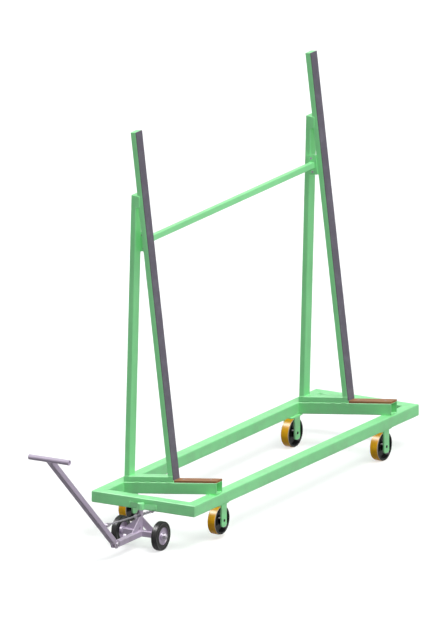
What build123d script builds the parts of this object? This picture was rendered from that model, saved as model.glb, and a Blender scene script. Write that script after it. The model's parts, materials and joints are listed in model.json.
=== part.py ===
from build123d import *
import os
from math import asin, atan2, cos, degrees, hypot, pi, radians, sin, tan

# A single-sided panel trolley with a tow dolly under one end.
# It is drawn level first: X runs from the tow end to the far end, Y = 0 is the middle,
# -Y is the loading side, and Z = 0 is the plane under the four castor treads.
# The dolly stands a little lower than the castors, so at the end the whole trolley is
# pitched about its far axles until the dolly wheels and the far castors share one floor.

# Base frame, square hollow section with mitred corners
base_length = 2260.0
base_width = 600.0
rail_size = 60.0
rail_wall = 3.0
rail_corner = 5.0

# Upright frames
upright_from_end = 220.0
upright_width = 60.0
foot_size = 60.0
foot_wall = 3.0
foot_tilt = 7.0
ledge_depth = 250.7
post_depth = 30.0
post_wall = 2.5
post_corner = 4.0
leaning_post_length = 1815.0
rear_post_length = 1477.0
post_cap_thickness = 3.0
rubber_thickness = 5.0
rubber_edge = 1.5
strip_foot_gap = 0.2
batten_thickness = 11.0
batten_edge = 2.0

# Head piece on the rear post that bridges to the leaning post
rear_post_inset = 2.0
post_top_gap = 5.2
head_width = 30.0
head_height = 60.0
head_corner = 8.0
head_inset = 20.0
head_thickness = 5.0

# Crossbar and its bolted flanges
crossbar_drop = 254.3
crossbar_share = 0.63
crossbar_size = 30.0
crossbar_wall = 2.0
crossbar_corner = 3.0
flange_width = 56.0
flange_height = 100.0
flange_thickness = 6.0
flange_corner = 4.0
flange_bolt_spacing = 70.0
flange_bolt_diameter = 6.0
flange_bolt_clearance = 0.5
flange_bolt_head = 4.0
flange_bolt_across_flats = 10.0
flange_nut_height = 5.0
flange_bolt_end = 2.0
seat_plate_thickness = 6.0

# Castors
castor_diameter = 150.0
castor_height = 164.0
castor_from_end = 312.0
castor_inset = 40.0
castor_plate_length = 110.0
castor_plate_thickness = 5.0
castor_plate_corner = 8.0
fork_gap = 52.0
fork_leg_width = 50.0
fork_leg_thickness = 8.0
fork_leg_drop = 33.0
fork_leg_corner = 16.0
tread_width = 45.0
tread_thickness = 5.0
tread_shoulder = 2.5
core_rim_thickness = 8.0
core_web_thickness = 14.0
core_hub_radius = 22.0
core_hub_side_gap = 1.5
core_edge = 2.0
castor_axle_diameter = 12.0
castor_axle_clearance = 0.3
castor_axle_end = 1.0
castor_axle_chamfer = 0.8
castor_bush_diameter = 20.0
castor_bush_bore_clearance = 0.2
running_clearance = 0.05

# Coupling on the tow end rail
mast_from_rail = 22.0
socket_diameter = 35.5
socket_drop_from_rail_top = 19.0
socket_height = 33.0
socket_cap_thickness = 4.0
socket_edge = 2.0
wing_thickness = 5.0
wing_height = 27.0
wing_drop_from_rail_top = 24.0
wing_spread = 78.0
wing_aim = 6.0

# Dolly
dolly_axle_drop = 115.0
dolly_wheel_diameter = 150.0
dolly_wheel_width = 31.0
dolly_track = 233.0
tyre_section = 25.0
tyre_shoulder = 4.0
tyre_groove_depth = 1.5
tyre_groove_width = 3.0
tyre_groove_in = 6.0
rim_lip_width = 3.0
rim_disc_thickness = 5.0
rim_dish_depth = 6.0
rim_band_thickness = 4.0
rim_hub_radius = 21.0
rim_hub_side_gap = 1.0
beam_size = 30.0
beam_wall = 2.5
beam_corner = 3.5
beam_end_gap = 4.0
stub_diameter = 16.0
stub_plug_length = 35.0
stub_collar_radius = 12.0
axle_washer_thickness = 2.5
axle_washer_radius = 15.0
axle_nut_height = 14.0
axle_nut_across_flats = 24.0
axle_thread_end = 3.0
mast_diameter = 22.0
pin_diameter = 20.0
pin_top_gap = 0.3
pin_chamfer = 2.0
thrust_washer_thickness = 2.0
brace_top_drop = 36.0
brace_reach = 94.0
brace_foot = 55.0
brace_thickness = 5.0
slot_drop_from_mast_top = 26.0
slot_width = 10.0
slot_height = 16.0
slot_flat_depth = 2.0
slot_flat_diameter = 18.0

# Lower arm, drawbar and handle
pivot_from_axle = 260.0
pivot_rise = 3.0
arm_end_clearance = 2.0
draw_bar_size = 30.0
draw_bar_wall = 2.5
draw_bar_corner = 3.5
draw_bar_angle = 42.1
draw_bar_reach = 890.0
draw_bar_start = 34.0
fork_plate_thickness = 5.0
fork_plate_radius = 22.0
tongue_side_gap = 0.3
tongue_insert = 40.0
pivot_diameter = 12.0
pivot_bolt_head = 7.5
pivot_bolt_across_flats = 18.0
pivot_nut_height = 10.0
pivot_bolt_end = 3.0
handle_diameter = 27.0
handle_wall = 2.5
handle_length = 235.0

# Spring stay between the drawbar and the mast
stay_lug_along = 143.7
stay_lug_up = 29.2
stay_lug_thickness = 6.0
stay_lug_radius = 9.0
stay_pin_diameter = 8.0
stay_pin_head = 3.0
stay_rod_diameter = 8.0
stay_clevis_gap = 0.4
stay_clevis_cheek = 4.5
stay_clevis_radius = 9.0
stay_clevis_depth = 16.0
stay_clevis_neck = 14.0
stay_clevis_neck_radius = 7.0
stay_nut_length = 6.5
stay_nut_across_flats = 13.0
stay_collar_length = 8.0
stay_collar_radius = 9.0
stay_buffer_length = 40.0
stay_buffer_radius = 8.0
stay_buffer_edge = 1.5
stay_buffer_gap = 1.0
stay_washer_radius = 10.0
stay_washer_thickness = 2.5
stay_tail_end = 4.0
spring_wire = 3.0
spring_mean_diameter = 14.0
spring_turns = 7
spring_length = 104.0
spring_end_gap = 1.0
spring_seat_gap = 0.2

# One overrun for every cut
overrun = 10.0

# Sizes that follow from the ones above
rail_top = castor_height + rail_size
half_width = base_width / 2
castor_radius = castor_diameter / 2
castor_y = half_width - castor_inset
dolly_wheel_radius = dolly_wheel_diameter / 2
dolly_axle_z = castor_height - dolly_axle_drop
far_axle_x = base_length - castor_from_end
mast_x = -mast_from_rail
pivot_x = mast_x - pivot_from_axle
pivot_z = dolly_axle_z + pivot_rise
socket_top = rail_top - socket_drop_from_rail_top
socket_bottom = socket_top - socket_height
mast_top = socket_bottom - thrust_washer_thickness
slot_z = mast_top - slot_drop_from_mast_top
wheel_y = dolly_track / 2

# Local axes of an upright frame: x runs back along the foot, y up along the leaning post,
# from the point where the leaning post's face meets the top of the foot
tilt = radians(foot_tilt)
rail_inner_y = half_width - rail_size
post_face_y = ledge_depth - half_width
post_face_z = rail_top - (post_face_y + rail_inner_y) * tan(tilt) + foot_size / cos(tilt)
chord_rear = (rail_inner_y - post_face_y - post_depth * sin(tilt)) / cos(tilt)
rear_post_foot = chord_rear - rear_post_inset
post_lean_run = rear_post_foot - post_depth - post_top_gap
post_angle = asin(post_lean_run / hypot(rear_post_length, post_depth)) - atan2(post_depth, rear_post_length)
rear_post_top = post_depth + rear_post_length * cos(post_angle)
crossbar_up = rear_post_top - crossbar_drop

# Drawbar and stay geometry in the middle plane
bar_angle = radians(draw_bar_angle)
handle_x = pivot_x - draw_bar_reach * cos(bar_angle)
handle_z = pivot_z + draw_bar_reach * sin(bar_angle)
stay_pin_x = pivot_x - stay_lug_along * cos(bar_angle) + stay_lug_up * sin(bar_angle)
stay_pin_z = pivot_z + stay_lug_along * sin(bar_angle) + stay_lug_up * cos(bar_angle)
stay_slope = atan2(slot_z - stay_pin_z, mast_x - stay_pin_x)
stay_to_slot = hypot(mast_x - stay_pin_x, slot_z - stay_pin_z)

# Pitch that puts the dolly wheels and the far castors on one floor
axle_run = far_axle_x - mast_x
axle_rise = castor_radius - dolly_axle_z
pitch = atan2(axle_rise, axle_run) + asin(
    (dolly_wheel_radius - castor_radius) / hypot(axle_run, axle_rise)
)
floor_drop = far_axle_x * sin(pitch) - castor_radius * cos(pitch) + castor_radius
low_x = handle_x * cos(pitch) + handle_z * sin(pitch) - handle_diameter / 2
high_x = (base_length - rail_corner) * cos(pitch) + (rail_top - rail_corner) * sin(pitch) + rail_corner
middle_x = (low_x + high_x) / 2


def standing(shape):
    """The level trolley pitched about Y and moved so that the floor is Z = 0 and its box is centred."""
    return Pos(-middle_x, 0, floor_drop) * Rot(0, degrees(pitch), 0) * shape


def hollow_section(width, depth, wall, corner, length):
    """Rectangular tube with rounded corners, along +Z from the origin."""
    outside = RectangleRounded(width, depth, corner)
    inside = RectangleRounded(width - 2 * wall, depth - 2 * wall, corner - wall)
    return extrude(outside - inside, amount=length)


def cylinder(radius, start, end, direction=(0, 0, 1)):
    """Round bar from start, a point, to a distance end along the direction."""
    return Plane(origin=start, z_dir=direction) * extrude(Circle(radius), amount=end)


def hexagon(across_flats, height, start, direction):
    """Hexagon head or nut from start along the direction."""
    face = RegularPolygon(across_flats / 2, 6, major_radius=False)
    return Plane(origin=start, z_dir=direction) * extrude(face, amount=height)


# Base frame

def long_rail(side):
    """Rail along X on one side, its ends mitred towards the middle of the base."""
    tube = hollow_section(rail_size, rail_size, rail_wall, rail_corner, base_length)
    centre = side * (half_width - rail_size / 2)
    rail = Plane(origin=(0, centre, castor_height + rail_size / 2), x_dir=(0, 1, 0), z_dir=(1, 0, 0)) * tube
    tow_mitre = Plane(origin=(0, side * half_width, 0), z_dir=(1, side, 0))
    far_mitre = Plane(origin=(base_length, side * half_width, 0), z_dir=(-1, side, 0))
    return split(split(rail, tow_mitre, keep=Keep.TOP), far_mitre, keep=Keep.TOP)


def end_rail(x, inward):
    """Rail along Y at one end, mitred to meet the long rails; inward is +1 or -1 along X."""
    tube = hollow_section(rail_size, rail_size, rail_wall, rail_corner, base_width)
    start = (x + inward * rail_size / 2, -half_width, castor_height + rail_size / 2)
    rail = Plane(origin=start, x_dir=(1, 0, 0), z_dir=(0, 1, 0)) * tube
    for side in (-1, 1):
        mitre = Plane(origin=(x, side * half_width, 0), z_dir=(inward, side, 0))
        rail = split(rail, mitre, keep=Keep.BOTTOM)
    return rail


# Upright frames, drawn in their local axes with the width along local z

def local_plane(x):
    """Local axes of the upright frame whose tow side face stands at x."""
    return Plane(
        origin=(x, post_face_y, post_face_z),
        x_dir=(0, cos(tilt), -sin(tilt)),
        z_dir=(1, 0, 0),
    )


def plumb(y):
    """Upright cutting plane at Y = y, in local axes, facing the rear."""
    return Plane(origin=((y - post_face_y) * cos(tilt), (y - post_face_y) * sin(tilt), 0),
                 z_dir=(cos(tilt), sin(tilt), 0))


def foot_tube():
    """Sloping foot tube, cut upright at both ends, open at the front."""
    reach = base_width + ledge_depth
    tube = hollow_section(upright_width, foot_size, foot_wall, rail_corner, 2 * reach)
    start = Plane(origin=(-reach, -foot_size / 2, upright_width / 2), x_dir=(0, 0, 1), z_dir=(1, 0, 0))
    foot = split(start * tube, plumb(-half_width), keep=Keep.TOP)
    return split(foot, plumb(rail_inner_y), keep=Keep.BOTTOM)


def foot_chord():
    """Flat tube along the top of the foot, from the leaning post's face to the rear rail."""
    tube = hollow_section(upright_width, post_depth, post_wall, post_corner, chord_rear + overrun)
    start = Plane(origin=(0, post_depth / 2, upright_width / 2), x_dir=(0, 0, 1), z_dir=(1, 0, 0))
    return split(start * tube, plumb(rail_inner_y), keep=Keep.BOTTOM)


def leaning_post():
    """Post square to the foot; the load leans on its face."""
    length = leaning_post_length - post_depth - post_cap_thickness
    tube = hollow_section(upright_width, post_depth, post_wall, post_corner, length)
    start = (post_depth / 2, post_depth, upright_width / 2)
    return Plane(origin=start, x_dir=(0, 0, 1), z_dir=(0, 1, 0)) * tube


def rear_post_plane():
    """Centre line of the rear post: origin on the chord, z up the post, x across the frame."""
    along = (-sin(post_angle), cos(post_angle))
    half = post_depth / 2
    origin = (rear_post_foot - half * cos(post_angle), post_depth - half * sin(post_angle))
    return Plane(origin=(*origin, upright_width / 2), x_dir=(0, 0, 1), z_dir=(*along, 0))


def rear_post():
    """Rear post, its foot cut to the slope of the chord."""
    length = rear_post_length - post_cap_thickness
    tube = hollow_section(upright_width, post_depth, post_wall, post_corner, length + post_depth)
    post = rear_post_plane() * Pos(0, 0, -post_depth) * tube
    return split(post, Plane(origin=(0, post_depth, 0), z_dir=(0, 1, 0)), keep=Keep.TOP)


def post_cap(width, depth, corner):
    """Thin plate that closes a post's top, its edge a little inside the tube's."""
    return extrude(RectangleRounded(width, depth, corner), amount=post_cap_thickness)


def post_caps():
    """Caps of the leaning post and the rear post of one frame."""
    cap = post_cap(upright_width, post_depth, post_corner)
    top = Plane(
        origin=(post_depth / 2, leaning_post_length - post_cap_thickness, upright_width / 2),
        x_dir=(0, 0, 1),
        z_dir=(0, 1, 0),
    )
    rear = rear_post_plane() * Pos(0, 0, rear_post_length - post_cap_thickness)
    return [top * cap, rear * cap]


def rubber_strip():
    """Rubber strip on the leaning post's face, down to the batten's top, with softened long edges."""
    low = batten_thickness + strip_foot_gap
    size = (rubber_thickness, leaning_post_length - low, upright_width)
    strip = Pos(0, low, 0) * Box(*size, align=(Align.MAX, Align.MIN, Align.MIN))
    face = strip.faces().sort_by(Axis.X)[0]
    return fillet(face.edges().filter_by(Axis.Y), rubber_edge)


def wood_batten():
    """Wood batten on the foot, from the rubber to the foot's upright front end."""
    length = ledge_depth + foot_size
    batten = Pos(-rubber_thickness, 0, 0) * Box(
        length, batten_thickness, upright_width, align=(Align.MAX, Align.MIN, Align.MIN)
    )
    edges = batten.faces().sort_by(Axis.Y)[-1].edges().filter_by(Axis.X)
    return split(fillet(edges, batten_edge), plumb(-half_width), keep=Keep.TOP)


def rear_post_front(up):
    """Local x of the rear post's front face at a height up the frame."""
    return rear_post_foot - (up - post_depth) * tan(post_angle) - post_depth / cos(post_angle)


def post_head():
    """Rounded cheeks on both sides of the frame that tie the rear post's top to the leaning post."""
    frame = rear_post_plane()
    upright = Plane(origin=frame.origin, x_dir=frame.y_dir, z_dir=frame.x_dir)
    middle = (post_depth / 2 - head_inset - head_width / 2, rear_post_length - head_height / 2)
    cheek = extrude(RectangleRounded(head_width, head_height, head_corner), amount=head_thickness)
    lows = (upright_width / 2, -upright_width / 2 - head_thickness)
    return [upright * Pos(*middle, low) * cheek for low in lows]


def crossbar_middle():
    """Local x of the crossbar's axis."""
    return post_depth + (rear_post_front(crossbar_up) - post_depth) * crossbar_share


def bolt_offsets():
    """Heights of the two flange bolts from the crossbar's axis."""
    return (-flange_bolt_spacing / 2, flange_bolt_spacing / 2)


def bolt_holes(plate, z_low):
    """Drills the two bolt holes through a plate that starts at local z = z_low."""
    for up in bolt_offsets():
        start = (crossbar_middle(), crossbar_up + up, z_low - overrun)
        radius = flange_bolt_diameter / 2 + flange_bolt_clearance
        plate -= cylinder(radius, start, flange_thickness + seat_plate_thickness + 2 * overrun)
    return plate


def seat_plate(z_low):
    """Plate welded into the wedge between the posts, where the crossbar is bolted."""
    low = crossbar_up - flange_height / 2
    high = crossbar_up + flange_height / 2
    outline = Polygon(
        (post_depth, low),
        (rear_post_front(low), low),
        (rear_post_front(high), high),
        (post_depth, high),
        align=None,
    )
    return bolt_holes(Pos(0, 0, z_low) * extrude(outline, amount=seat_plate_thickness), z_low)


def bar_flange(z_low):
    """Flange welded to the crossbar's end, lying over both posts and the seat plate."""
    plate = extrude(RectangleRounded(flange_width, flange_height, flange_corner), amount=flange_thickness)
    return bolt_holes(Pos(crossbar_middle(), crossbar_up, z_low) * plate, z_low)


def flange_bolt(up, z_face, outward):
    """Bolt with its head on the flange and its nut inside the wedge; outward is the head's side."""
    out = (0, 0, outward)
    inward = (0, 0, -outward)
    centre = (crossbar_middle(), crossbar_up + up)
    grip = flange_thickness + seat_plate_thickness
    head = hexagon(flange_bolt_across_flats, flange_bolt_head, (*centre, z_face), out)
    length = grip + flange_nut_height + flange_bolt_end
    shank = cylinder(flange_bolt_diameter / 2, (*centre, z_face), length, inward)
    nut = hexagon(flange_bolt_across_flats, flange_nut_height, (*centre, z_face - outward * grip), inward)
    nut -= cylinder(flange_bolt_diameter / 2, (*centre, z_face), length + overrun, inward)
    return [head + shank, nut]


# Castors

def castor_fork(x, side):
    """Welded fixed fork: top plate and two legs with rounded lower ends."""
    y = side * castor_y
    half_gap = fork_gap / 2
    plate_width = fork_gap + 2 * fork_leg_thickness
    top = RectangleRounded(castor_plate_length, plate_width, castor_plate_corner)
    fork = Pos(x, y, castor_height) * extrude(top, amount=-castor_plate_thickness)
    leg_height = castor_height - castor_plate_thickness - castor_radius
    for leg_side in (-1, 1):
        outline = Pos(0, -fork_leg_drop) * Rectangle(
            fork_leg_width, leg_height + fork_leg_drop, align=(Align.CENTER, Align.MIN)
        )
        outline = fillet(outline.vertices().group_by(Axis.Y)[0], fork_leg_corner)
        outline -= Circle(castor_axle_diameter / 2 + castor_axle_clearance)
        start = Plane(
            origin=(x, y + leg_side * half_gap, castor_radius),
            x_dir=(-leg_side, 0, 0),
            z_dir=(0, leg_side, 0),
        )
        fork += start * extrude(outline, amount=fork_leg_thickness)
    return fork


def castor_axle(x, side):
    """Round axle through the fork, its chamfered ends just proud of the legs."""
    reach = fork_gap / 2 + fork_leg_thickness + castor_axle_end
    start = (x, side * castor_y - reach, castor_radius)
    axle = cylinder(castor_axle_diameter / 2, start, 2 * reach, (0, 1, 0))
    return chamfer(axle.edges().filter_by(GeomType.CIRCLE), castor_axle_chamfer)


def castor_bush(x, side):
    """Sleeve clamped between the fork legs, on which the wheel turns."""
    start = (x, side * castor_y - fork_gap / 2, castor_radius)
    bush = cylinder(castor_bush_diameter / 2, start, fork_gap, (0, 1, 0))
    bore = castor_axle_diameter / 2 + castor_bush_bore_clearance
    return bush - cylinder(bore, (x, start[1] - overrun, castor_radius), fork_gap + 2 * overrun, (0, 1, 0))


def turned(profile, x, y, z):
    """Turns a half section, drawn as radius and width, about an axle along Y."""
    return Pos(x, y, z) * Rot(90, 0, 0) * revolve(Plane.XZ * profile, Axis.Z)


def castor_tread():
    """Half section of the tread: flat running face with sloping shoulders."""
    inner = castor_radius - tread_thickness
    band = Pos(inner, 0) * Rectangle(tread_thickness, tread_width, align=(Align.MIN, Align.CENTER))
    return chamfer(band.vertices().group_by(Axis.X)[-1], tread_shoulder)


def castor_core():
    """Half section of the core: rim, web and hub, with the recesses between them."""
    outer = castor_radius - tread_thickness
    bore = castor_bush_diameter / 2 + running_clearance
    hub_width = fork_gap - 2 * core_hub_side_gap
    rim = Pos(outer - core_rim_thickness, 0) * Rectangle(
        core_rim_thickness, tread_width, align=(Align.MIN, Align.CENTER)
    )
    web = Pos(bore, 0) * Rectangle(outer - bore, core_web_thickness, align=(Align.MIN, Align.CENTER))
    hub = Pos(bore, 0) * Rectangle(core_hub_radius - bore, hub_width, align=(Align.MIN, Align.CENTER))
    core = rim + web + hub
    corners = core.vertices().filter_by_position(Axis.X, core_hub_radius - core_edge, outer - core_edge)
    return chamfer(corners, core_edge)


# Coupling

def coupling_socket():
    """Closed socket that the dolly's pin turns in."""
    body = cylinder(socket_diameter / 2, (mast_x, 0, socket_bottom), socket_height)
    body = chamfer(body.edges().group_by(Axis.Z)[-1], socket_edge)
    depth = socket_height - socket_cap_thickness + overrun
    bore = pin_diameter / 2 + running_clearance
    return body - cylinder(bore, (mast_x, 0, socket_bottom - overrun), depth)


def coupling_wing(side):
    """Flat bar from the rail's face to the socket, set at an angle in plan."""
    tip_x = mast_x - wing_aim
    low = rail_top - wing_drop_from_rail_top - wing_height
    outline = Polygon(
        (tip_x, 0),
        (tip_x + wing_thickness, 0),
        (0, side * (wing_spread - wing_thickness)),
        (0, side * wing_spread),
        align=None,
    )
    wing = Pos(0, 0, low + wing_height / 2) * extrude(outline, amount=wing_height / 2, both=True)
    return wing - cylinder(socket_diameter / 2, (mast_x, 0, low - overrun), wing_height + 2 * overrun)


# Dolly

def axle_beam():
    """Square tube across the dolly, between the wheels."""
    length = dolly_track - dolly_wheel_width - 2 * beam_end_gap
    tube = hollow_section(beam_size, beam_size, beam_wall, beam_corner, length)
    return Plane(origin=(mast_x, -length / 2, dolly_axle_z), x_dir=(1, 0, 0), z_dir=(0, 1, 0)) * tube


def beam_half():
    """Half length of the axle beam."""
    return dolly_track / 2 - dolly_wheel_width / 2 - beam_end_gap


def stub_axle(side):
    """Stub axle: square plug inside the beam, collar, journal and threaded end."""
    out = (0, side, 0)
    inside = beam_size - 2 * beam_wall
    start = (mast_x, side * (beam_half() - stub_plug_length), dolly_axle_z)
    plug = Plane(origin=start, z_dir=out) * extrude(
        RectangleRounded(inside, inside, beam_corner - beam_wall), amount=stub_plug_length
    )
    root = (mast_x, side * beam_half(), dolly_axle_z)
    collar = cylinder(stub_collar_radius, root, beam_end_gap - rim_hub_side_gap, out)
    end = wheel_y + dolly_wheel_width / 2 + axle_washer_thickness + axle_nut_height + axle_thread_end
    journal = cylinder(stub_diameter / 2, root, end + rim_hub_side_gap - beam_half(), out)
    return plug + collar + journal


def axle_fastening(side):
    """Washer and nut on a stub axle's end."""
    out = (0, side, 0)
    face = wheel_y + dolly_wheel_width / 2 + rim_hub_side_gap
    washer = cylinder(axle_washer_radius, (mast_x, side * face, dolly_axle_z), axle_washer_thickness, out)
    nut_start = (mast_x, side * (face + axle_washer_thickness), dolly_axle_z)
    nut = hexagon(axle_nut_across_flats, axle_nut_height, nut_start, out)
    bore = cylinder(stub_diameter / 2, (mast_x, 0, dolly_axle_z), 2 * dolly_track, out)
    return [washer - bore, nut - bore]


def mast():
    """Round mast with the coupling pin on top and the stay's cross slot, a flat at each of its mouths."""
    low = dolly_axle_z + beam_size / 2
    body = cylinder(mast_diameter / 2, (mast_x, 0, low), mast_top - low)
    pin_top = socket_top - socket_cap_thickness - pin_top_gap
    pin = cylinder(pin_diameter / 2, (mast_x, 0, mast_top), pin_top - mast_top)
    body += chamfer(pin.edges().group_by(Axis.Z)[-1], pin_chamfer)
    centre = Plane(origin=(mast_x, 0, slot_z), x_dir=(0, 0, 1), z_dir=(1, 0, 0))
    body -= centre * extrude(SlotOverall(slot_height, slot_width), amount=mast_diameter, both=True)
    for side in (-1, 1):
        start = (mast_x + side * (mast_diameter / 2 - slot_flat_depth), 0, slot_z)
        body -= cylinder(slot_flat_diameter / 2, start, overrun, (side, 0, 0))
    return body


def thrust_washer():
    """Washer between the mast's shoulder and the socket."""
    washer = cylinder(socket_diameter / 2, (mast_x, 0, mast_top), thrust_washer_thickness)
    bore = pin_diameter / 2 + running_clearance
    return washer - cylinder(bore, (mast_x, 0, mast_top - overrun), thrust_washer_thickness + 2 * overrun)


def mast_brace(out):
    """Inclined flat from the mast down to the beam or the arm, on the mast's side that out points to."""
    low = dolly_axle_z + beam_size / 2
    top = mast_top - brace_top_drop
    inner = mast_diameter / 2
    slope = (top - low) / (brace_reach - inner)
    outline = Polygon(
        (inner, top),
        (brace_reach, low),
        (brace_reach - brace_foot, low),
        (inner, low + (brace_reach - brace_foot - inner) * slope),
        align=None,
    )
    plate = extrude(outline, amount=brace_thickness / 2, both=True)
    return Plane(origin=(mast_x, 0, 0), x_dir=(out[0], out[1], 0), z_dir=(out[1], -out[0], 0)) * plate


def lower_arm():
    """Square tube from the beam forward to the drawbar's pivot."""
    start = mast_x - beam_size / 2
    end = pivot_x + fork_plate_radius + arm_end_clearance
    tube = hollow_section(beam_size, beam_size, beam_wall, beam_corner, start - end)
    return Plane(origin=(start, 0, dolly_axle_z), x_dir=(0, 1, 0), z_dir=(-1, 0, 0)) * tube


def arm_tongue():
    """Tongue set in the arm's end, rounded about the pivot."""
    thickness = 2 * fork_half_gap() - 2 * tongue_side_gap
    height = beam_size - 2 * beam_wall
    root = fork_plate_radius + arm_end_clearance + tongue_insert
    shank = Pos(root, -pivot_rise) * Rectangle(root, height, align=(Align.MAX, Align.CENTER))
    outline = shank + Circle(height / 2) - Circle(pivot_diameter / 2 + running_clearance)
    tongue = extrude(outline, amount=thickness / 2, both=True)
    return Plane(origin=(pivot_x, 0, pivot_z), x_dir=(1, 0, 0), z_dir=(0, -1, 0)) * tongue


def bar_plane():
    """Axes along the drawbar: x up the bar from the pivot, y square to it upwards, z along +Y."""
    return Plane(origin=(pivot_x, 0, pivot_z), x_dir=(-cos(bar_angle), 0, sin(bar_angle)), z_dir=(0, 1, 0))


def draw_bar():
    """Square tube from above the pivot to the handle, its top end coped round the handle."""
    length = draw_bar_reach - draw_bar_start
    tube = hollow_section(draw_bar_size, draw_bar_size, draw_bar_wall, draw_bar_corner, length)
    start = Plane(origin=(draw_bar_start, 0, 0), x_dir=(0, 1, 0), z_dir=(1, 0, 0))
    bar = bar_plane() * (start * tube)
    cope = (handle_x, -draw_bar_size, handle_z)
    return bar - cylinder(handle_diameter / 2, cope, 2 * draw_bar_size, (0, 1, 0))


def fork_half_gap():
    """Half the space between the two plates of the drawbar's fork."""
    return draw_bar_size / 2 - draw_bar_wall - fork_plate_thickness


def fork_plate(side):
    """Side plate of the drawbar's fork, rounded about the pivot."""
    outline = Rectangle(
        draw_bar_start + tongue_insert, draw_bar_size - 2 * draw_bar_corner, align=(Align.MIN, Align.CENTER)
    )
    outline += Circle(fork_plate_radius)
    outline -= Circle(pivot_diameter / 2 + running_clearance)
    plate = extrude(outline, amount=fork_plate_thickness)
    inner = fork_half_gap() if side > 0 else -fork_half_gap() - fork_plate_thickness
    return bar_plane() * Pos(0, 0, inner) * plate


def stay_lug():
    """Lug on top of the drawbar that the stay is pinned to."""
    top = draw_bar_size / 2
    outline = Pos(stay_lug_along, top) * Rectangle(
        2 * stay_lug_radius, stay_lug_up - top, align=(Align.CENTER, Align.MIN)
    )
    outline += Pos(stay_lug_along, stay_lug_up) * Circle(stay_lug_radius)
    outline -= Pos(stay_lug_along, stay_lug_up) * Circle(stay_pin_diameter / 2 + running_clearance)
    return bar_plane() * extrude(outline, amount=stay_lug_thickness / 2, both=True)


def pivot_bolt():
    """Bolt through the fork and the tongue, with its nut."""
    half = fork_half_gap() + fork_plate_thickness
    head = hexagon(pivot_bolt_across_flats, pivot_bolt_head, (pivot_x, -half, pivot_z), (0, -1, 0))
    length = 2 * half + pivot_nut_height + pivot_bolt_end
    shank = cylinder(pivot_diameter / 2, (pivot_x, -half, pivot_z), length, (0, 1, 0))
    nut = hexagon(pivot_bolt_across_flats, pivot_nut_height, (pivot_x, half, pivot_z), (0, 1, 0))
    nut -= cylinder(pivot_diameter / 2, (pivot_x, -half, pivot_z), length + overrun, (0, 1, 0))
    return [head + shank, nut]


def handle_bar():
    """Round tube across the drawbar's top, open at both ends."""
    start = (handle_x, -handle_length / 2, handle_z)
    tube = cylinder(handle_diameter / 2, start, handle_length, (0, 1, 0))
    bore_start = (handle_x, start[1] - overrun, handle_z)
    bore = handle_diameter / 2 - handle_wall
    return tube - cylinder(bore, bore_start, handle_length + 2 * overrun, (0, 1, 0))


# Stay, drawn along its own axis: x from the pin to the tail

def stay_plane():
    """Axes along the stay from its pin; z is along +Y or -Y of the trolley."""
    along = (cos(stay_slope), 0, sin(stay_slope))
    return Plane(origin=(stay_pin_x, 0, stay_pin_z), x_dir=along, z_dir=(0, -1, 0))


def clevis_length():
    """Distance from the stay's pin to the end of the clevis neck."""
    return stay_clevis_depth + stay_clevis_neck


def buffer_start():
    """Distance from the stay's pin to the buffer's collar end."""
    return stay_to_slot - mast_diameter / 2 + slot_flat_depth - stay_buffer_gap - stay_buffer_length


def spring_start():
    """Distance from the stay's pin to the near end of the spring."""
    return stay_to_slot + mast_diameter / 2 - slot_flat_depth + spring_end_gap


def tail_washer_start():
    """Distance from the stay's pin to the washer behind the spring."""
    return spring_start() + spring_length + spring_seat_gap


def stay_rod():
    """Round rod from inside the clevis, through the mast's guide, to the tail nuts."""
    end = tail_washer_start() + stay_washer_thickness + 2 * stay_nut_length + stay_tail_end
    rod = cylinder(stay_rod_diameter / 2, (stay_clevis_depth, 0, 0), end - stay_clevis_depth, (1, 0, 0))
    return stay_plane() * rod


def stay_clevis():
    """Fork end of the stay: two cheeks round the lug and a round neck on the rod."""
    slot = stay_lug_thickness / 2 + stay_clevis_gap
    width = slot + stay_clevis_cheek
    outline = Circle(stay_clevis_radius) + Rectangle(
        stay_clevis_depth + stay_clevis_cheek, 2 * stay_clevis_radius, align=(Align.MIN, Align.CENTER)
    )
    clevis = extrude(outline, amount=width, both=True)
    clevis -= Box(2 * stay_clevis_depth, 4 * stay_clevis_radius, 2 * slot)
    neck_start = (stay_clevis_depth, 0, 0)
    clevis += cylinder(stay_clevis_neck_radius, neck_start, stay_clevis_neck, (1, 0, 0))
    clevis -= cylinder(stay_pin_diameter / 2, (0, 0, -2 * width), 4 * width)
    clevis -= cylinder(stay_rod_diameter / 2, neck_start, stay_clevis_neck + overrun, (1, 0, 0))
    return stay_plane() * clevis


def on_rod(shape):
    """A nut, collar or washer bored to the rod."""
    return shape - cylinder(stay_rod_diameter / 2, (-overrun, 0, 0), 2 * stay_to_slot, (1, 0, 0))


def stay_fittings():
    """Lock nut at the clevis, stop collar before the buffer, and washer and two nuts behind the spring."""
    along = (1, 0, 0)
    collar_end = buffer_start()
    tail = tail_washer_start()
    parts = [
        hexagon(stay_nut_across_flats, stay_nut_length, (clevis_length(), 0, 0), along),
        cylinder(stay_collar_radius, (collar_end - stay_collar_length, 0, 0), stay_collar_length, along),
        cylinder(stay_washer_radius, (tail, 0, 0), stay_washer_thickness, along),
    ]
    for count in range(2):
        start = tail + stay_washer_thickness + count * stay_nut_length
        parts.append(hexagon(stay_nut_across_flats, stay_nut_length, (start, 0, 0), along))
    return [stay_plane() * on_rod(part) for part in parts]


def stay_buffer():
    """Rubber sleeve between the stop collar and the mast."""
    sleeve = cylinder(stay_buffer_radius, (buffer_start(), 0, 0), stay_buffer_length, (1, 0, 0))
    return stay_plane() * on_rod(chamfer(sleeve.edges().sort_by(Axis.X)[-1], stay_buffer_edge))


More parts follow.
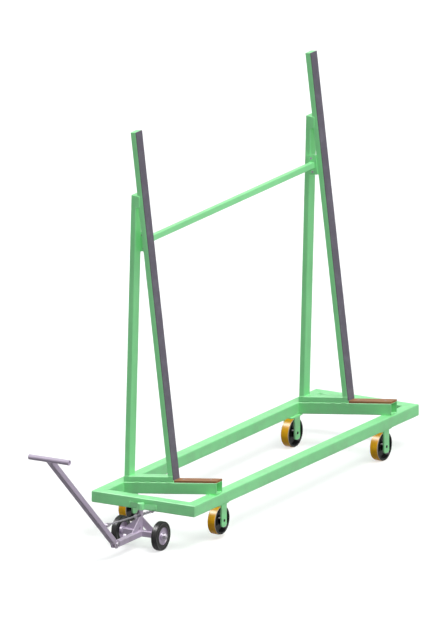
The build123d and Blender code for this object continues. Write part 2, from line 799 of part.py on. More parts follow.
def stay_pin():
    """Headed pin through the clevis and the lug."""
    width = stay_lug_thickness / 2 + stay_clevis_gap + stay_clevis_cheek
    pin = cylinder(stay_pin_diameter / 2, (0, 0, -width - stay_pin_head), 2 * (width + stay_pin_head))
    pin += cylinder(stay_pin_diameter / 2 + stay_pin_head, (0, 0, width), stay_pin_head)
    pin += cylinder(stay_pin_diameter / 2 + stay_pin_head, (0, 0, -width - stay_pin_head), stay_pin_head)
    return stay_plane() * pin


def helix_point(turns):
    """Point of the spring's centre line after a number of turns, and its unit tangent."""
    radius = spring_mean_diameter / 2
    pitch_length = (spring_length - spring_wire) / spring_turns
    angle = 2 * pi * turns
    point = Vector(spring_wire / 2 + pitch_length * turns, radius * cos(angle), radius * sin(angle))
    tangent = Vector(pitch_length / (2 * pi), -radius * sin(angle), radius * cos(angle)).normalized()
    return point, tangent


def spring_line():
    """The helix as pairs of tangent arcs, one pair for each half turn."""
    arcs = []
    for half in range(2 * spring_turns):
        start, leaving = helix_point(half / 2)
        end, arriving = helix_point((half + 1) / 2)
        chord = end - start
        both = leaving + arriving
        spread = 2 * (1 - leaving.dot(arriving))
        reach = (-chord.dot(both) + (chord.dot(both) ** 2 + spread * chord.dot(chord)) ** 0.5) / spread
        joint = (start + end) * 0.5 + (leaving - arriving) * (reach * 0.5)
        arcs.append(TangentArc(start, joint, tangent=leaving))
        arcs.append(TangentArc(end, joint, tangent=arriving * -1))
    return Wire(arcs)


def stay_spring():
    """Compression spring round the stay's tail, one unbroken wire."""
    line = spring_line()
    start, leaving = helix_point(0)
    coil = sweep(Plane(origin=start, z_dir=leaving) * Circle(spring_wire / 2), path=line)
    gap = (spring_length - spring_wire) / spring_turns - spring_wire
    print("spring: least gap between turns", round(gap, 2), "mm")
    return stay_plane() * Pos(spring_start(), 0, 0) * coil


# Dolly wheels

def tyre_profile():
    """Half section of the tyre, with a fine groove in each sidewall."""
    inner = dolly_wheel_radius - tyre_section
    band = Pos(inner, 0) * Rectangle(tyre_section, dolly_wheel_width, align=(Align.MIN, Align.CENTER))
    band = fillet(band.vertices().group_by(Axis.X)[-1], tyre_shoulder)
    for side in (-1, 1):
        groove = Rectangle(tyre_groove_width, 2 * tyre_groove_depth)
        band -= Pos(inner + tyre_groove_in, side * dolly_wheel_width / 2) * groove
    return band


def rim_profile(side):
    """Half section of the pressed rim: band, disc set towards the outer side, and hub."""
    outer = dolly_wheel_radius - tyre_section
    bore = stub_diameter / 2 + running_clearance
    width = dolly_wheel_width
    band = Pos(outer - rim_band_thickness, 0) * Rectangle(
        rim_band_thickness, width - 2 * rim_lip_width, align=(Align.MIN, Align.CENTER)
    )
    disc = Pos(bore, -side * rim_dish_depth) * Rectangle(
        outer - bore - rim_band_thickness / 2, rim_disc_thickness, align=(Align.MIN, Align.CENTER)
    )
    hub = Pos(bore, 0) * Rectangle(rim_hub_radius - bore, width, align=(Align.MIN, Align.CENTER))
    return band + disc + hub


def build():
    """Every node by name, drawn level."""
    nodes = {
        "front_rail": long_rail(-1),
        "rear_rail": long_rail(1),
        "tow_end_rail": end_rail(0, 1),
        "far_end_rail": end_rail(base_length, -1),
    }
    near_x = upright_from_end
    far_x = base_length - upright_from_end - upright_width
    for name, x in (("tow", near_x), ("far", far_x)):
        place = local_plane(x)
        nodes[name + "_foot_tube"] = place * foot_tube()
        nodes[name + "_foot_chord"] = place * foot_chord()
        nodes[name + "_leaning_post"] = place * leaning_post()
        nodes[name + "_rear_post"] = place * rear_post()
        nodes[name + "_rubber_strip"] = place * rubber_strip()
        nodes[name + "_wood_batten"] = place * wood_batten()
    near, far = local_plane(near_x), local_plane(far_x)
    nodes["post_caps"] = [place * cap for place in (near, far) for cap in post_caps()]
    nodes["tow_post_head"] = [near * cheek for cheek in post_head()]
    nodes["far_post_head"] = [far * cheek for cheek in post_head()]
    inner_face = upright_width - seat_plate_thickness
    nodes["seat_plates"] = [near * seat_plate(inner_face), far * seat_plate(0)]
    nodes["tow_bar_flange"] = near * bar_flange(upright_width)
    nodes["far_bar_flange"] = far * bar_flange(-flange_thickness)
    bolts = []
    for up in bolt_offsets():
        bolts += [near * part for part in flange_bolt(up, upright_width + flange_thickness, 1)]
        bolts += [far * part for part in flange_bolt(up, -flange_thickness, -1)]
    nodes["flange_bolts"] = bolts
    bar_start = upright_width + flange_thickness
    bar_length = far_x - near_x - upright_width - 2 * flange_thickness
    tube = hollow_section(crossbar_size, crossbar_size, crossbar_wall, crossbar_corner, bar_length)
    nodes["crossbar"] = near * Pos(crossbar_middle(), crossbar_up, bar_start) * tube

    nodes["coupling_wings"] = [coupling_wing(-1), coupling_wing(1)]
    nodes["coupling_socket"] = coupling_socket()

    castors = {
        "tow_front": (castor_from_end, -1),
        "tow_rear": (castor_from_end, 1),
        "far_front": (far_axle_x, -1),
        "far_rear": (far_axle_x, 1),
    }
    nodes["castor_axles"] = []
    for name, (x, side) in castors.items():
        nodes[name + "_fork"] = castor_fork(x, side)
        nodes["castor_axles"] += [castor_axle(x, side), castor_bush(x, side)]
        nodes[name + "_tread"] = turned(castor_tread(), x, side * castor_y, castor_radius)
        nodes[name + "_core"] = turned(castor_core(), x, side * castor_y, castor_radius)

    nodes["axle_beam"] = axle_beam()
    nodes["stub_axles"] = [stub_axle(-1), stub_axle(1)]
    nodes["axle_nuts"] = axle_fastening(-1) + axle_fastening(1)
    nodes["mast"] = mast()
    nodes["thrust_washer"] = thrust_washer()
    nodes["mast_braces"] = [mast_brace(out) for out in ((0, -1), (0, 1), (-1, 0))]
    nodes["lower_arm"] = lower_arm()
    nodes["arm_tongue"] = arm_tongue()
    nodes["draw_bar"] = draw_bar()
    nodes["draw_bar_lugs"] = [fork_plate(-1), fork_plate(1), stay_lug()]
    nodes["pivot_bolt"] = pivot_bolt()
    nodes["handle_bar"] = handle_bar()
    nodes["stay_rod"] = stay_rod()
    nodes["stay_clevis"] = stay_clevis()
    nodes["stay_fittings"] = stay_fittings() + [stay_pin()]
    nodes["stay_buffer"] = stay_buffer()
    nodes["stay_spring"] = stay_spring()
    for name, side in (("front", -1), ("rear", 1)):
        place = (mast_x, side * wheel_y, dolly_axle_z)
        nodes["dolly_" + name + "_tyre"] = turned(tyre_profile(), *place)
        nodes["dolly_" + name + "_rim"] = turned(rim_profile(side), *place)
    return nodes


def main():
    """Writes one STEP file for each node."""
    os.makedirs("parts", exist_ok=True)
    for name, shape in build().items():
        pieces = shape if isinstance(shape, list) else [shape]
        solids = [solid for piece in pieces for solid in standing(piece).solids()]
        whole = solids[0] if len(solids) == 1 else Compound(children=solids)
        export_step(whole, "parts/" + name + ".step")


main()
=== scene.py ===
import json
from math import asin, atan2, cos, hypot, pi, radians, sin, tan

import bpy
import numpy as np
from mathutils import Matrix, Vector


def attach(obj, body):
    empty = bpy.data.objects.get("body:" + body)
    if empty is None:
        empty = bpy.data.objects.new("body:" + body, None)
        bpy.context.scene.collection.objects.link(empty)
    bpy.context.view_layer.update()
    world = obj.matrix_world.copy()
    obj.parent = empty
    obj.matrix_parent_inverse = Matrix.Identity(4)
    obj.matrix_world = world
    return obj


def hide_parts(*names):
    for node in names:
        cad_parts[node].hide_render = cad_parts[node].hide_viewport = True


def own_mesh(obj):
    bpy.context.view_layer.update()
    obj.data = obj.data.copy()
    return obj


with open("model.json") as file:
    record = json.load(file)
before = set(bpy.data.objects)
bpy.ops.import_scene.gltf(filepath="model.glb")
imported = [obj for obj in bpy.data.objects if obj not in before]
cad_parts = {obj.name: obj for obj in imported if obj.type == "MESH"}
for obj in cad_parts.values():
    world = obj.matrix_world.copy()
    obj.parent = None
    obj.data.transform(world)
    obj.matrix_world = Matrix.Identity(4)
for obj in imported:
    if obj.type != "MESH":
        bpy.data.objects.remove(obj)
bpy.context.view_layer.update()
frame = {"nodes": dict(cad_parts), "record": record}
nodes = frame["nodes"]

# The trolley is described level, in millimetres, as its drawing is: X from the tow end rail's outer
# face to the far end, Y from the middle (-Y is the loading side), Z from the castors' floor.
BASE_LENGTH, HALF_WIDTH = 2260.0, 300.0
RAIL, RAIL_TOP, RAIL_CORNER = 60.0, 224.0, 5.0
RAIL_LOW, RAIL_INNER = RAIL_TOP - RAIL, HALF_WIDTH - RAIL
WHEEL_R = 75.0
MAST_X, AXLE_Z = -22.0, 49.0
CASTOR_X, CASTOR_Y = (312.0, 1948.0), 260.0
PIVOT = np.array([-282.0, 0.0, 52.0])
BAR_ANGLE, BAR_REACH, HANDLE_R = radians(42.1), 890.0, 13.5

# The upright frames: where they stand, the tube sizes of foot and post, the lean, and the place where
# the strip's post meets the foot's top
UPRIGHTS, FOOT, POST = (220.0, 1980.0), 60.0, 30.0
TILT, POST_FROM_EDGE = radians(7.0), 250.7
FACE_Y = POST_FROM_EDGE - HALF_WIDTH
FACE_Z = RAIL_TOP - (FACE_Y + RAIL_INNER) * tan(TILT) + FOOT / cos(TILT)

# The rack stands on the dolly and the far castors, pitched about Y, with its length centred on X = 0
PITCH = atan2(WHEEL_R - AXLE_Z, CASTOR_X[1] - MAST_X)
FLOOR_DROP = CASTOR_X[1] * sin(PITCH) - WHEEL_R * cos(PITCH) + WHEEL_R
HANDLE = PIVOT + BAR_REACH * np.array([-cos(BAR_ANGLE), 0.0, sin(BAR_ANGLE)])
LOW_X = HANDLE[0] * cos(PITCH) + HANDLE[2] * sin(PITCH) - HANDLE_R
HIGH_X = (BASE_LENGTH - RAIL_CORNER) * cos(PITCH) + (RAIL_TOP - RAIL_CORNER) * sin(PITCH) + RAIL_CORNER
MIDDLE_X = (LOW_X + HIGH_X) / 2
TURN = np.array([[cos(PITCH), 0, sin(PITCH)], [0, 1, 0], [-sin(PITCH), 0, cos(PITCH)]])


def row(points):
    """Level drawing points in millimetres to row frame metres: pitched about Y, moved, scaled."""
    return (np.asarray(points, float) @ TURN.T + np.array([-MIDDLE_X, 0.0, FLOOR_DROP])) / 1000.0


def frame_point(x0, x, y, z):
    """Point of an upright frame: x back along the foot, y up the leaning post, z across it."""
    level_y = FACE_Y + x * cos(TILT) + y * sin(TILT)
    return np.array([x0 + z, level_y, FACE_Z - x * sin(TILT) + y * cos(TILT)])


def frame_way(x, y, z):
    """Direction in an upright frame's axes as a level direction."""
    return frame_point(0, x, y, z) - frame_point(0, 0, 0, 0)


# Shader sockets that do arithmetic


class Value:
    """A shader socket; +, -, * and the functions below add Math nodes."""

    def __init__(self, tree, socket):
        self.tree, self.socket = tree, socket

    def math(self, operation, *others):
        node = self.tree.nodes.new("ShaderNodeMath")
        node.operation = operation
        for slot, item in zip(node.inputs, (self, *others)):
            if isinstance(item, Value):
                self.tree.links.new(item.socket, slot)
            else:
                slot.default_value = item
        return Value(self.tree, node.outputs[0])

    def __add__(self, other):
        return self.math("ADD", other)

    def __sub__(self, other):
        return self.math("SUBTRACT", other)

    def __mul__(self, other):
        return self.math("MULTIPLY", other)

    def __rsub__(self, other):
        return self.math("MULTIPLY", -1.0).math("ADD", other)

    __radd__, __rmul__ = __add__, __mul__

    def step(self, low, high):
        """0 below low, 1 above high, smooth between; high may be the lower one."""
        node = self.tree.nodes.new("ShaderNodeMapRange")
        node.interpolation_type = "SMOOTHSTEP"
        self.tree.links.new(self.socket, node.inputs[0])
        node.inputs[1].default_value, node.inputs[2].default_value = low, high
        return Value(self.tree, node.outputs[0])


class Paint:
    """A material being built round one Principled node."""

    def __init__(self, name):
        self.material = bpy.data.materials.new(name)
        self.material.use_nodes = True
        self.tree = self.material.node_tree
        self.shader = self.tree.nodes["Principled BSDF"]
        self.object = self.node("ShaderNodeTexCoord", out="Object")

    def node(self, kind, settings=None, out=0, **inputs):
        """Adds a node: settings are its properties, inputs its values or links, by name or i0, i1."""
        node = self.tree.nodes.new(kind)
        for key, item in (settings or {}).items():
            setattr(node, key, item)
        for key, item in inputs.items():
            numbered = key[0] == "i" and key[1:].isdigit()
            slot = node.inputs[int(key[1:]) if numbered else key]
            if isinstance(item, Value):
                self.tree.links.new(item.socket, slot)
            else:
                slot.default_value = item
        return Value(self.tree, node.outputs[out])

    def stretched(self, x, y, z):
        """Object coordinates times a factor on each axis."""
        return self.node("ShaderNodeVectorMath", {"operation": "MULTIPLY"}, i0=self.object,
                         i1=(x, y, z))

    def noise(self, scale, detail=3.0, rough=0.5, at=None):
        """Noise from 0 to 1 in object space."""
        return self.node("ShaderNodeTexNoise", Vector=at or self.object, Scale=scale, Detail=detail,
                         Roughness=rough)

    def axis(self, name):
        """One object coordinate."""
        return self.node("ShaderNodeSeparateXYZ", None, name, i0=self.object)

    def mix(self, share, low, high):
        """Colour between two, each a tuple or a Value."""
        return self.node("ShaderNodeMix", {"data_type": "RGBA"}, 2, i0=share, i6=low, i7=high)

    def set(self, **inputs):
        """Sets or links the Principled node's inputs."""
        for key, item in inputs.items():
            slot = self.shader.inputs[key.replace("_", " ")]
            if isinstance(item, Value):
                self.tree.links.new(item.socket, slot)
            else:
                slot.default_value = item
        return self

    def bump(self, height, distance, strength=1.0):
        """Bump from a height of 0 to 1 and its depth in metres."""
        return self.set(Normal=self.node("ShaderNodeBump", Height=height, Distance=distance,
                                         Strength=strength))


def shown(tree):
    """1 for the rays that show the backdrop itself: the camera's, mirrored and passing ones."""
    path = tree.nodes.new("ShaderNodeLightPath")
    camera, mirrored, passing = (Value(tree, path.outputs["Is %s Ray" % kind])
                                 for kind in ("Camera", "Glossy", "Transmission"))
    return (camera + mirrored + passing).math("MINIMUM", 1.0)


def rgb(r, g, b):
    return (r, g, b, 1.0)


def coated(name, colour, dull, rough, chips, shine=0.25):
    """Spray paint: a slow drift of tone, dust low down, fine scuffs and an orange-peel surface."""
    paint = Paint(name)
    drift = paint.noise(2.3, 4.0)
    tone = paint.mix(drift.step(0.3, 0.7), colour, tuple(c * 0.9 for c in colour[:3]) + (1.0,))
    low = paint.axis("Z").step(0.34, 0.02) * paint.noise(9.0, 6.0, 0.65).step(0.42, 0.7) * 0.55
    dusty = paint.mix(low, tone, dull)
    scuff = paint.noise(1.0, 5.0, 0.7, paint.stretched(34.0, 160.0, 60.0)).step(0.66, 0.71)
    scuff = scuff * paint.noise(6.0, 2.0).step(0.5, 0.62) * chips
    peel = paint.noise(620.0, 2.0)
    paint.set(Base_Color=paint.mix(scuff, dusty, dull), Roughness=drift * 0.1 + rough + low * 0.3)
    paint.set(Coat_Weight=shine * 0.32, Coat_Roughness=0.3, Specular_IOR_Level=shine)
    return paint.bump(peel + scuff * -0.6, 0.00012, 0.55).material


def plated(name, colour, rough):
    """Zinc-plated steel: fine turning marks, a faint warm and cool drift and dull spots."""
    paint = Paint(name)
    drift = paint.noise(38.0, 4.0)
    lines = paint.noise(1.0, 3.0, 0.6, paint.stretched(300.0, 300.0, 2200.0))
    warm = rgb(colour[0] * 0.98, colour[1] * 0.95, colour[2] * 0.9)
    tone = paint.mix(drift.step(0.35, 0.65), colour, warm)
    paint.set(Base_Color=tone, Metallic=0.55, Roughness=lines * 0.16 + rough + drift * 0.1)
    return paint.bump(lines, 0.00006, 0.5).material


def timber(name):
    """Oiled softwood: growth bands along Y that wander, fine pores and a few darker streaks."""
    paint = Paint(name)
    wander = paint.noise(1.0, 3.0, 0.5, paint.stretched(22.0, 3.0, 22.0))
    bands = paint.node("ShaderNodeTexWave", {"wave_type": "BANDS", "bands_direction": "X"}, 0,
                       Vector=paint.stretched(1.0, 0.04, 0.7), Scale=38.0, Distortion=5.0, Detail=3.0,
                       **{"Detail Scale": 1.6})
    pores = paint.noise(1.0, 4.0, 0.7, paint.stretched(900.0, 26.0, 900.0))
    tone = paint.mix(bands * 0.65 + wander * 0.35, rgb(0.40, 0.185, 0.064), rgb(0.26, 0.108, 0.038))
    tone = paint.mix(pores.step(0.58, 0.75) * 0.45, tone, rgb(0.19, 0.075, 0.032))
    paint.set(Base_Color=tone, Roughness=bands * 0.12 + 0.48, Specular_IOR_Level=0.2)
    return paint.bump(pores * 0.6 + bands * 0.4, 0.0003, 0.5).material


def elastic(name, colour, light, rough, ribs=0.0):
    """Rubber: bloom in slow patches and a fine surface, with ribs across X of that width in metres."""
    paint = Paint(name)
    bloom = paint.noise(14.0, 5.0, 0.6)
    fine = paint.noise(700.0, 2.0)
    height = fine * 0.5
    if ribs:
        wave = (paint.axis("X") * (2 * pi / ribs)).math("SINE")
        height = height + wave.step(-0.4, 0.6) * 0.5
    paint.set(Base_Color=paint.mix(bloom.step(0.4, 0.75), colour, light),
              Roughness=bloom * 0.18 + rough, Specular_IOR_Level=0.2)
    return paint.bump(height, 0.0005 if ribs else 0.0001, 0.5).material


def cast_wheel(name, colour, light, middle):
    """Cast tread: clear running face with dust, a painted highlight line on each shoulder, black sides.

    The lines and sides are told apart by the distance from the wheel's middle plane, in metres."""
    paint = Paint(name)
    dust = paint.noise(60.0, 6.0, 0.7).step(0.52, 0.74) * 0.3
    tone = paint.mix(paint.noise(8.0).step(0.3, 0.7), colour, light)
    tone = paint.mix(dust, tone, rgb(0.42, 0.20, 0.02))
    off = (paint.axis("Y").math("ABSOLUTE") - middle).math("ABSOLUTE")
    # Pale line on each shoulder: a painted highlight where the rounded edge catches the light
    tone = paint.mix(off.step(0.0199, 0.0203), tone, rgb(0.62, 0.50, 0.40))
    tone = paint.mix(off.step(0.0215, 0.0222), tone, rgb(0.015, 0.014, 0.014))
    paint.set(Base_Color=tone, Roughness=dust * 0.3 + 0.3, Coat_Weight=0.22, Coat_Roughness=0.34,
              Specular_IOR_Level=0.05)
    return paint.bump(paint.noise(350.0), 0.0002, 0.3).material


def moulded(name, colour, rough):
    """Black moulded or painted wheel centre with fine swirl and dust."""
    paint = Paint(name)
    swirl = paint.noise(120.0, 3.0)
    dust = paint.noise(25.0, 5.0, 0.7).step(0.5, 0.8) * 0.25
    paint.set(Base_Color=paint.mix(dust, colour, rgb(0.03, 0.027, 0.024)),
              Roughness=swirl * 0.12 + rough + dust * 0.3, Specular_IOR_Level=0.12)
    return paint.bump(swirl, 0.00015, 0.4).material


MATERIALS = {
    "green_paint": coated("green_paint", rgb(0.295, 0.86, 0.367), rgb(0.33, 0.45, 0.30), 0.36, 0.6),
    "tow_paint": coated("tow_paint", rgb(0.545, 0.465, 0.595), rgb(0.33, 0.29, 0.28), 0.38, 0.7, 0.07),
    "wood": timber("wood"),
    "rubber": elastic("rubber", rgb(0.145, 0.13, 0.165), rgb(0.19, 0.175, 0.215), 0.62, 0.006),
    "tread": cast_wheel("tread", rgb(0.84, 0.37, 0.001), rgb(0.94, 0.48, 0.003), CASTOR_Y / 1000),
    "wheel_core": moulded("wheel_core", rgb(0.003, 0.003, 0.0035), 0.16),
    "tyre": elastic("tyre", rgb(0.009, 0.009, 0.0095), rgb(0.022, 0.021, 0.020), 0.26),
    "rim": coated("rim", rgb(0.50, 0.42, 0.55), rgb(0.30, 0.27, 0.26), 0.3, 0.5),
    "zinc": plated("zinc", rgb(0.30, 0.285, 0.33), 0.36),
}
SLOTS = {item["node"]: item["material_slot"] for item in frame["record"]["subparts"]}

for name, node in nodes.items():
    node.data.materials.clear()
    node.data.materials.append(MATERIALS[SLOTS[name]])

# Bevelled edges on the turned and hexagonal steel pieces and the plates
for name in ("flange_bolts", "castor_axles", "axle_nuts", "stub_axles", "thrust_washer", "pivot_bolt",
             "stay_clevis", "stay_fittings", "draw_bar_lugs", "tow_bar_flange", "far_bar_flange",
             "mast_braces", "coupling_wings", "coupling_socket"):
    bevel = nodes[name].modifiers.new("edge", "BEVEL")
    bevel.width, bevel.segments = 0.0006, 2
    bevel.limit_method, bevel.angle_limit = "ANGLE", radians(40)


# Surfaces


class Surface:
    """Collects grids of points into one mesh."""

    def __init__(self):
        self.points, self.faces, self.count = [], [], 0

    def grid(self, points, closed=True, caps=False):
        """Adds rows x columns x 3 points as quads; closed joins the last column to the first."""
        rows, columns = points.shape[:2]
        index = np.arange(rows * columns).reshape(rows, columns) + self.count
        right = np.roll(index, -1, axis=1) if closed else index[:, 1:]
        left = index if closed else index[:, :-1]
        quads = np.stack([left[:-1], right[:-1], right[1:], left[1:]], axis=-1).reshape(-1, 4)
        self.faces += quads.tolist()
        if caps:
            self.faces += [index[0, ::-1].tolist(), index[-1].tolist()]
        self.points.append(points.reshape(-1, 3))
        self.count += rows * columns
        return self

    def ring(self, points, turned=False):
        """Adds rows x columns x 3 points as quads closed both ways; turned swaps the faces' side."""
        rows, columns = points.shape[:2]
        index = np.arange(rows * columns).reshape(rows, columns) + self.count
        row_on, column_on = np.roll(index, -1, axis=0), np.roll(index, -1, axis=1)
        both_on = np.roll(row_on, -1, axis=1)
        order = [index, row_on, both_on, column_on] if turned else [index, column_on, both_on, row_on]
        self.faces += np.stack(order, axis=-1).reshape(-1, 4).tolist()
        self.points.append(points.reshape(-1, 3))
        self.count += rows * columns
        return self

    def piece(self, name, slot, body, smooth=True):
        """Makes the object, outward faces, with the slot's material, on the body."""
        mesh = bpy.data.meshes.new(name)
        mesh.from_pydata(row(np.concatenate(self.points)), [], self.faces)
        mesh.polygons.foreach_set("use_smooth", np.full(len(mesh.polygons), smooth))
        mesh.materials.append(MATERIALS[slot])
        mesh.update()
        made = bpy.data.objects.new(name, mesh)
        bpy.context.scene.collection.objects.link(made)
        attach(made, body)
        return made


def across(direction):
    """Two unit vectors square to a direction and to each other, right-handed with it."""
    direction = np.asarray(direction, float) / np.linalg.norm(direction)
    side = np.cross(direction, [0.0, 0.0, 1.0] if abs(direction[2]) < 0.9 else [0.0, 1.0, 0.0])
    side /= np.linalg.norm(side)
    return direction, side, np.cross(direction, side)


def lathe(surface, start, direction, profile, sides=48):
    """Turns a profile about a line: each (distance along, radius) pair becomes a circle of points."""
    direction, side, up = across(direction)
    along, radius = np.array(profile, float).T
    angle = np.linspace(0, 2 * pi, sides, endpoint=False)
    ring = np.cos(angle)[:, None] * side + np.sin(angle)[:, None] * up
    points = np.asarray(start) + along[:, None, None] * direction + radius[:, None, None] * ring
    return surface.grid(points, caps=True)


def bead(surface, start, end, radius, pitch=3.2):
    """Weld bead: a tube along a line, its radius swells once a ripple and tapers at both ends.

    The calls below end with that radius, in millimetres."""
    start, end = np.asarray(start, float), np.asarray(end, float)
    length = np.linalg.norm(end - start)
    rows = max(8, int(length / pitch * 4))
    direction, side, up = across(end - start)
    share = np.linspace(0, 1, rows)
    phase = share * length / pitch
    swell = 0.86 + 0.14 * np.abs(np.sin(pi * phase)) + 0.05 * np.sin(phase * 1.7)
    taper = np.clip(np.minimum(share, 1 - share) * length / radius, 0.05, 1) ** 0.5
    angle = np.linspace(0, 2 * pi, 12, endpoint=False)
    ring = np.cos(angle)[:, None] * side + np.sin(angle)[:, None] * up
    line = start + share[:, None] * (end - start)
    points = line[:, None] + (radius * swell * taper)[:, None, None] * ring[None]
    return surface.grid(points, caps=True)


def loop_bead(surface, points, normal, size, pitch=3.2):
    """Weld bead round a closed flat line: a tube whose radius swells once a ripple."""
    tangent = np.roll(points, -1, axis=0) - np.roll(points, 1, axis=0)
    normal = np.asarray(normal, float)
    out = np.cross(tangent, normal)
    out /= np.linalg.norm(out, axis=1)[:, None]
    step = np.linalg.norm(np.roll(points, -1, axis=0) - points, axis=1)
    ripples = max(4, round(step.sum() / pitch))
    phase = np.concatenate([[0.0], np.cumsum(step)[:-1]]) / step.sum()
    swell = size * (0.86 + 0.14 * np.abs(np.sin(pi * ripples * phase)))[:, None, None]
    angle = np.linspace(0, 2 * pi, 12, endpoint=False)[None, :, None]
    tube = np.cos(angle) * out[:, None] + np.sin(angle) * normal
    return surface.ring(points[:, None] + swell * tube)


def circle_line(centre, direction, radius):
    """Points round a circle, about 0.9 mm apart, counter-clockwise about the direction."""
    direction, side, up = across(direction)
    turn = np.linspace(0, 2 * pi, int(7 * radius), endpoint=False)[:, None]
    return np.asarray(centre, float) + radius * (np.cos(turn) * side + np.sin(turn) * up)


def rounded_line(centre, a, b, half_a, half_b, corner):
    """Points round a rectangle with round corners, about 0.9 mm apart, from direction a to b."""
    corners, turn = [], np.linspace(0, pi / 2, 14)
    for quarter, (i, j) in enumerate(((1, 1), (-1, 1), (-1, -1), (1, -1))):
        angle = turn + quarter * pi / 2
        corners.append(np.stack([i * (half_a - corner) + corner * np.cos(angle),
                                 j * (half_b - corner) + corner * np.sin(angle)], axis=1))
    line = np.concatenate(corners + [corners[0][:1]])
    length = np.concatenate([[0.0], np.cumsum(np.linalg.norm(np.diff(line, axis=0), axis=1))])
    at = np.linspace(0, length[-1], int(length[-1] / 0.9), endpoint=False)
    x, y = np.interp(at, length, line[:, 0]), np.interp(at, length, line[:, 1])
    return np.asarray(centre, float) + x[:, None] * np.asarray(a) + y[:, None] * np.asarray(b)


def thread(surface, start, direction, length, radius, pitch, depth):
    """Screw thread: radius falls and rises once a pitch along the line and once a turn about it."""
    direction, side, up = across(direction)
    rows = int(length / pitch * 8)
    along = np.linspace(0, length, rows)[:, None]
    turn = np.linspace(0, 2 * pi, 32, endpoint=False)[None]
    phase = (along / pitch - turn / (2 * pi)) % 1.0
    ends = np.clip(np.minimum(along, length - along) / pitch, 0, 1)
    reach = radius + 0.05 - depth * ends * np.abs(2 * phase - 1)
    reach[0] = reach[-1] = radius * 0.9
    points = (np.asarray(start) + along[..., None] * direction
              + (reach * np.cos(turn))[..., None] * side + (reach * np.sin(turn))[..., None] * up)
    return surface.grid(points, caps=True)


def rectangle_beads(surface, centre, a, b, half_a, half_b, radius):
    """Four beads round a rectangle given by its centre and two directions."""
    centre, a, b = (np.asarray(item, float) for item in (centre, a, b))
    for sign in (-1, 1):
        for along, aside in ((a * half_a, b * half_b), (b * half_b, a * half_a)):
            middle = centre + aside * sign
            bead(surface, middle - along, middle + along, radius)


# Welds of the base's mitres
WELD_SINK = 0.6
welds = Surface()
for x, inward in ((0.0, 1), (BASE_LENGTH, -1)):
    for side in (-1, 1):
        for z in (RAIL_TOP - WELD_SINK, RAIL_LOW + WELD_SINK):
            inner = [x + inward * RAIL, side * RAIL_INNER, z]
            outer = [x + inward * RAIL_CORNER, side * (HALF_WIDTH - RAIL_CORNER), z]
            bead(welds, inner, outer, 1.9)

# Places in an upright frame's axes: the chord's rear end, the rear post's foot and turn, the crossbar
REAR_POST, HEAD_BACK = 1477.0, 35.2
BAR_BELOW_HEAD, BAR_SHARE = 254.3, 0.63
chord_rear = (RAIL_INNER - FACE_Y - POST * sin(TILT)) / cos(TILT)
rear_foot = chord_rear - 2.0
post_turn = asin((rear_foot - HEAD_BACK) / hypot(REAR_POST, POST)) - atan2(POST, REAR_POST)
bar_up = POST + REAR_POST * cos(post_turn) - BAR_BELOW_HEAD
wedge_rear = rear_foot - (bar_up - POST) * tan(post_turn) - POST / cos(post_turn)
bar_y = POST + BAR_SHARE * (wedge_rear - POST)

# Welds of the upright frames: stitches along the chord, beads round the posts' feet and on the rails
STITCH, STITCH_STEP, FIRST_STITCH, END_GAP = 30.0, 62.0, 12.0, 2.0
FRONT_BEAD_END, REAR_BEAD = -262.0, (172.0, 222.0)
for x0 in UPRIGHTS:
    for z in (0.0, FOOT):
        for x in np.arange(FIRST_STITCH, chord_rear - STITCH, STITCH_STEP):
            bead(welds, frame_point(x0, x, 0, z), frame_point(x0, x + STITCH, 0, z), 2.2)
        for x in (END_GAP, rear_foot - POST + END_GAP):
            bead(welds, frame_point(x0, x, POST, z),
                 frame_point(x0, x + POST - 2 * END_GAP, POST, z), 2.4)
        bead(welds, [x0 + z, -RAIL_INNER, RAIL_TOP], [x0 + z, FRONT_BEAD_END, RAIL_TOP + 2], 2.4)
        bead(welds, *([x0 + z, RAIL_INNER, up] for up in REAR_BEAD), 2.6)
    for x in (POST, rear_foot - POST - 0.3):
        bead(welds, frame_point(x0, x, POST, 3), frame_point(x0, x, POST, FOOT - 3), 3.0)
    for y, z in ((-RAIL_INNER, RAIL_TOP), (RAIL_INNER - 0.5, RAIL_TOP + 1)):
        bead(welds, [x0 + END_GAP, y, z], [x0 + FOOT - END_GAP, y, z], 2.8)
welds.piece("rack_frame_welds", "green_paint", "rack")

# Welds round the crossbar's ends, the cheeks at the post heads and the castor plates
FLANGE, BAR_HALF = 6.0, 13.0
FLANGE_FACES = ((UPRIGHTS[0], FOOT + FLANGE, 1), (UPRIGHTS[1], -FLANGE, -1))
CHEEK_BACK, CHEEK_HALVES, CHEEK_CORNER = 35.0, (15.2, 30.2), 8.0
cheek_x = rear_foot - CHEEK_BACK * cos(post_turn) - (REAR_POST - POST) * sin(post_turn)
cheek_y = POST - CHEEK_BACK * sin(post_turn) + (REAR_POST - POST) * cos(post_turn)
back_way = frame_way(cos(post_turn), sin(post_turn), 0)
up_way = frame_way(-sin(post_turn), cos(post_turn), 0)
small = Surface()
for x0, face, _ in FLANGE_FACES:
    rectangle_beads(small, frame_point(x0, bar_y, bar_up, face), frame_way(1, 0, 0),
                    frame_way(0, 1, 0), BAR_HALF, BAR_HALF, 2.0)
    for z in (FOOT + WELD_SINK, -WELD_SINK):
        line = rounded_line(frame_point(x0, cheek_x, cheek_y, z), back_way, up_way, *CHEEK_HALVES,
                            CHEEK_CORNER)
        loop_bead(small, line, np.cross(back_way, up_way), 1.7)
PLATE_END, PLATE_Y, PLATE_INNER, PLATE_INNER_HALF = 55.0, (242.0, 290.0), 241.0, 45.0
LEG_OUT, LEG_TOP, LEG_HALF = 34.06, 159.0, 23.0
